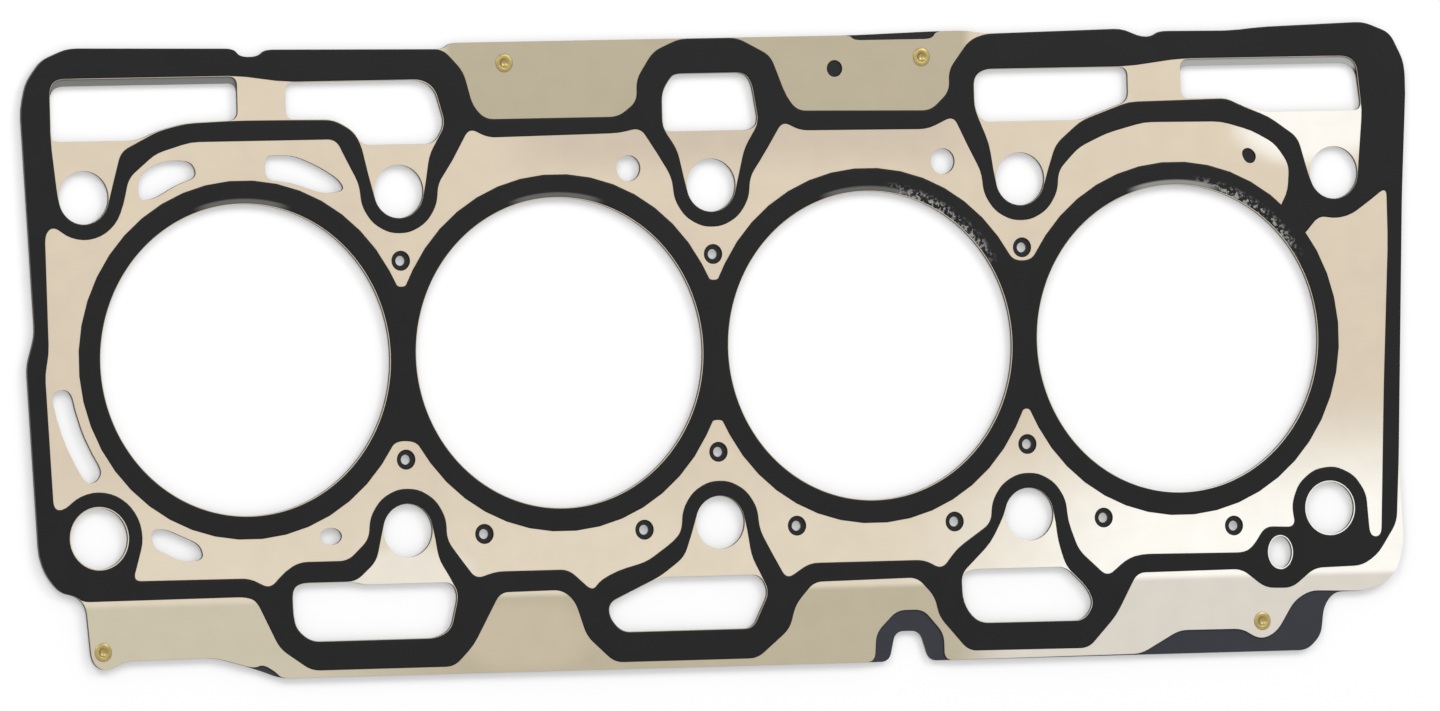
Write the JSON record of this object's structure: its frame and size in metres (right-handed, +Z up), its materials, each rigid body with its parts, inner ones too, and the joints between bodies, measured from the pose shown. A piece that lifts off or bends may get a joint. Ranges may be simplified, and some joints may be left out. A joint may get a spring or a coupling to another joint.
{
  "type": "cylinder head gasket",
  "caption": "Flat laminated steel gasket for an inline engine, with bore openings, bolt holes, coolant ports, weight-saving windows, printed black sealing beads and brass rivets.",
  "frame": {"origin": "centre of the inner head bolt pattern, between the second and third bores, on the face that lies on the engine block", "axes": "+X along the row of bores, +Y across it to the side with the larger windows, +Z up through the gasket to the printed face"},
  "size_m": [0.3926, 0.1653, 0.0012],
  "materials": {
    "lower_coating": "satin dark slate coating on steel",
    "upper_coating": "satin champagne coating on steel",
    "bead_rubber": "satin screen-printed elastomer",
    "rivet_brass": "satin"
  },
  "bodies": {
    "root": {"lower_layer": "lower_coating", "upper_layer": "upper_coating", "bore_seal": "bead_rubber", "outer_seal": "bead_rubber", "rivet_1": "rivet_brass", "rivet_2": "rivet_brass", "rivet_3": "rivet_brass", "rivet_4": "rivet_brass"}
  },
  "joints": []
}
